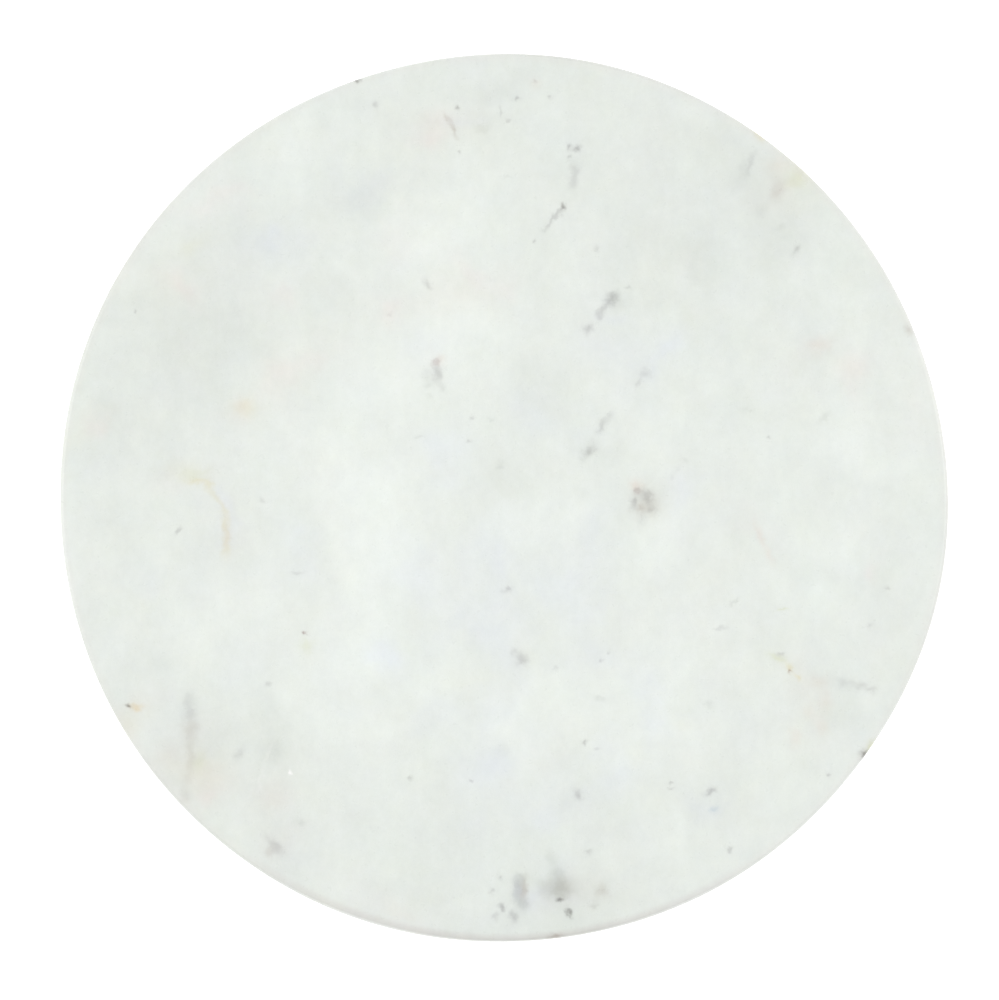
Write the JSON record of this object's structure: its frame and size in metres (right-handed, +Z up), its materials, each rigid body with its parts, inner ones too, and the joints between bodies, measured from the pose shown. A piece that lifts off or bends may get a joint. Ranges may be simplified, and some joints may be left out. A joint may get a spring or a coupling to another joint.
{
  "type": "lazy susan turntable",
  "caption": "Round marble serving slab that turns freely on a thin aluminium ball-bearing ring with rubber feet.",
  "frame": {"origin": "on the table, under the middle of the slab, on the axis that it turns about", "axes": "+Z up, along the axis of rotation; +X to the right and +Y to the back of the overhead view"},
  "size_m": [0.406, 0.406, 0.0336],
  "materials": {
    "marble": "polished",
    "aluminium": "satin",
    "steel": "satin",
    "brass": "satin",
    "rubber": "matte",
    "silicone": "matte",
    "nylon": "satin"
  },
  "bodies": {
    "base": {"outer_race_ring": "aluminium", "ball_loading_plug": "steel", "rubber_foot_1": "rubber", "rubber_foot_2": "rubber", "rubber_foot_3": "rubber", "rubber_foot_4": "rubber", "rubber_foot_5": "rubber", "rubber_foot_6": "rubber"},
    "turntable": {"marble_top": "marble", "threaded_insert_1": "brass", "threaded_insert_2": "brass", "threaded_insert_3": "brass", "threaded_insert_4": "brass", "threaded_insert_5": "brass", "threaded_insert_6": "brass", "cushion_pad_1": "silicone", "cushion_pad_2": "silicone", "cushion_pad_3": "silicone", "cushion_pad_4": "silicone", "cushion_pad_5": "silicone", "cushion_pad_6": "silicone", "inner_race_ring": "aluminium", "ring_screw_1": "steel", "ring_screw_2": "steel", "ring_screw_3": "steel", "ring_screw_4": "steel", "ring_screw_5": "steel", "ring_screw_6": "steel"},
    "cage": {"ball_cage": "nylon"},
    "ball_01": {"bearing_ball_01": "steel"},
    "ball_02": {"bearing_ball_02": "steel"},
    "ball_03": {"bearing_ball_03": "steel"},
    "ball_04": {"bearing_ball_04": "steel"},
    "ball_05": {"bearing_ball_05": "steel"},
    "ball_06": {"bearing_ball_06": "steel"},
    "ball_07": {"bearing_ball_07": "steel"},
    "ball_08": {"bearing_ball_08": "steel"},
    "ball_09": {"bearing_ball_09": "steel"},
    "ball_10": {"bearing_ball_10": "steel"},
    "ball_11": {"bearing_ball_11": "steel"},
    "ball_12": {"bearing_ball_12": "steel"},
    "ball_13": {"bearing_ball_13": "steel"},
    "ball_14": {"bearing_ball_14": "steel"},
    "ball_15": {"bearing_ball_15": "steel"},
    "ball_16": {"bearing_ball_16": "steel"},
    "ball_17": {"bearing_ball_17": "steel"},
    "ball_18": {"bearing_ball_18": "steel"},
    "ball_19": {"bearing_ball_19": "steel"},
    "ball_20": {"bearing_ball_20": "steel"},
    "ball_21": {"bearing_ball_21": "steel"},
    "ball_22": {"bearing_ball_22": "steel"},
    "ball_23": {"bearing_ball_23": "steel"},
    "ball_24": {"bearing_ball_24": "steel"}
  },
  "joints": [
    {"name": "turntable_spin", "type": "hinge", "parent": "base", "child": "turntable", "pos_m": [0, 0, 0.0095], "axis": [0, 0, 1], "continuous": true},
    {"name": "cage_orbit", "type": "hinge", "parent": "base", "child": "cage", "pos_m": [0, 0, 0.0095], "axis": [0, 0, 1], "continuous": true},
    {"name": "ball_roll_01", "type": "hinge", "parent": "cage", "child": "ball_01", "pos_m": [0.13, 0, 0.0095], "axis": [0.7071, 0, 0.7071], "continuous": true},
    {"name": "ball_roll_02", "type": "hinge", "parent": "cage", "child": "ball_02", "pos_m": [0.12557, 0.03365, 0.0095], "axis": [0.683, 0.183, 0.7071], "continuous": true},
    {"name": "ball_roll_03", "type": "hinge", "parent": "cage", "child": "ball_03", "pos_m": [0.11258, 0.065, 0.0095], "axis": [0.6124, 0.3536, 0.7071], "continuous": true},
    {"name": "ball_roll_04", "type": "hinge", "parent": "cage", "child": "ball_04", "pos_m": [0.09192, 0.09192, 0.0095], "axis": [0.5, 0.5, 0.7071], "continuous": true},
    {"name": "ball_roll_05", "type": "hinge", "parent": "cage", "child": "ball_05", "pos_m": [0.065, 0.11258, 0.0095], "axis": [0.3536, 0.6124, 0.7071], "continuous": true},
    {"name": "ball_roll_06", "type": "hinge", "parent": "cage", "child": "ball_06", "pos_m": [0.03365, 0.12557, 0.0095], "axis": [0.183, 0.683, 0.7071], "continuous": true},
    {"name": "ball_roll_07", "type": "hinge", "parent": "cage", "child": "ball_07", "pos_m": [0, 0.13, 0.0095], "axis": [0, 0.7071, 0.7071], "continuous": true},
    {"name": "ball_roll_08", "type": "hinge", "parent": "cage", "child": "ball_08", "pos_m": [-0.03365, 0.12557, 0.0095], "axis": [-0.183, 0.683, 0.7071], "continuous": true},
    {"name": "ball_roll_09", "type": "hinge", "parent": "cage", "child": "ball_09", "pos_m": [-0.065, 0.11258, 0.0095], "axis": [-0.3536, 0.6124, 0.7071], "continuous": true},
    {"name": "ball_roll_10", "type": "hinge", "parent": "cage", "child": "ball_10", "pos_m": [-0.09192, 0.09192, 0.0095], "axis": [-0.5, 0.5, 0.7071], "continuous": true},
    {"name": "ball_roll_11", "type": "hinge", "parent": "cage", "child": "ball_11", "pos_m": [-0.11258, 0.065, 0.0095], "axis": [-0.6124, 0.3536, 0.7071], "continuous": true},
    {"name": "ball_roll_12", "type": "hinge", "parent": "cage", "child": "ball_12", "pos_m": [-0.12557, 0.03365, 0.0095], "axis": [-0.683, 0.183, 0.7071], "continuous": true},
    {"name": "ball_roll_13", "type": "hinge", "parent": "cage", "child": "ball_13", "pos_m": [-0.13, 0, 0.0095], "axis": [-0.7071, 0, 0.7071], "continuous": true},
    {"name": "ball_roll_14", "type": "hinge", "parent": "cage", "child": "ball_14", "pos_m": [-0.12557, -0.03365, 0.0095], "axis": [-0.683, -0.183, 0.7071], "continuous": true},
    {"name": "ball_roll_15", "type": "hinge", "parent": "cage", "child": "ball_15", "pos_m": [-0.11258, -0.065, 0.0095], "axis": [-0.6124, -0.3536, 0.7071], "continuous": true},
    {"name": "ball_roll_16", "type": "hinge", "parent": "cage", "child": "ball_16", "pos_m": [-0.09192, -0.09192, 0.0095], "axis": [-0.5, -0.5, 0.7071], "continuous": true},
    {"name": "ball_roll_17", "type": "hinge", "parent": "cage", "child": "ball_17", "pos_m": [-0.065, -0.11258, 0.0095], "axis": [-0.3536, -0.6124, 0.7071], "continuous": true},
    {"name": "ball_roll_18", "type": "hinge", "parent": "cage", "child": "ball_18", "pos_m": [-0.03365, -0.12557, 0.0095], "axis": [-0.183, -0.683, 0.7071], "continuous": true},
    {"name": "ball_roll_19", "type": "hinge", "parent": "cage", "child": "ball_19", "pos_m": [0, -0.13, 0.0095], "axis": [0, -0.7071, 0.7071], "continuous": true},
    {"name": "ball_roll_20", "type": "hinge", "parent": "cage", "child": "ball_20", "pos_m": [0.03365, -0.12557, 0.0095], "axis": [0.183, -0.683, 0.7071], "continuous": true},
    {"name": "ball_roll_21", "type": "hinge", "parent": "cage", "child": "ball_21", "pos_m": [0.065, -0.11258, 0.0095], "axis": [0.3536, -0.6124, 0.7071], "continuous": true},
    {"name": "ball_roll_22", "type": "hinge", "parent": "cage", "child": "ball_22", "pos_m": [0.09192, -0.09192, 0.0095], "axis": [0.5, -0.5, 0.7071], "continuous": true},
    {"name": "ball_roll_23", "type": "hinge", "parent": "cage", "child": "ball_23", "pos_m": [0.11258, -0.065, 0.0095], "axis": [0.6124, -0.3536, 0.7071], "continuous": true},
    {"name": "ball_roll_24", "type": "hinge", "parent": "cage", "child": "ball_24", "pos_m": [0.12557, -0.03365, 0.0095], "axis": [0.683, -0.183, 0.7071], "continuous": true}
  ],
  "couplings": [
    {"joint": "cage_orbit", "follows": "turntable_spin", "ratio": 0.49136},
    {"joint": "ball_roll_01", "follows": "turntable_spin", "ratio": -20.466},
    {"joint": "ball_roll_02", "follows": "turntable_spin", "ratio": -20.466},
    {"joint": "ball_roll_03", "follows": "turntable_spin", "ratio": -20.466},
    {"joint": "ball_roll_04", "follows": "turntable_spin", "ratio": -20.466},
    {"joint": "ball_roll_05", "follows": "turntable_spin", "ratio": -20.466},
    {"joint": "ball_roll_06", "follows": "turntable_spin", "ratio": -20.466},
    {"joint": "ball_roll_07", "follows": "turntable_spin", "ratio": -20.466},
    {"joint": "ball_roll_08", "follows": "turntable_spin", "ratio": -20.466},
    {"joint": "ball_roll_09", "follows": "turntable_spin", "ratio": -20.466},
    {"joint": "ball_roll_10", "follows": "turntable_spin", "ratio": -20.466},
    {"joint": "ball_roll_11", "follows": "turntable_spin", "ratio": -20.466},
    {"joint": "ball_roll_12", "follows": "turntable_spin", "ratio": -20.466},
    {"joint": "ball_roll_13", "follows": "turntable_spin", "ratio": -20.466},
    {"joint": "ball_roll_14", "follows": "turntable_spin", "ratio": -20.466},
    {"joint": "ball_roll_15", "follows": "turntable_spin", "ratio": -20.466},
    {"joint": "ball_roll_16", "follows": "turntable_spin", "ratio": -20.466},
    {"joint": "ball_roll_17", "follows": "turntable_spin", "ratio": -20.466},
    {"joint": "ball_roll_18", "follows": "turntable_spin", "ratio": -20.466},
    {"joint": "ball_roll_19", "follows": "turntable_spin", "ratio": -20.466},
    {"joint": "ball_roll_20", "follows": "turntable_spin", "ratio": -20.466},
    {"joint": "ball_roll_21", "follows": "turntable_spin", "ratio": -20.466},
    {"joint": "ball_roll_22", "follows": "turntable_spin", "ratio": -20.466},
    {"joint": "ball_roll_23", "follows": "turntable_spin", "ratio": -20.466},
    {"joint": "ball_roll_24", "follows": "turntable_spin", "ratio": -20.466}
  ]
}
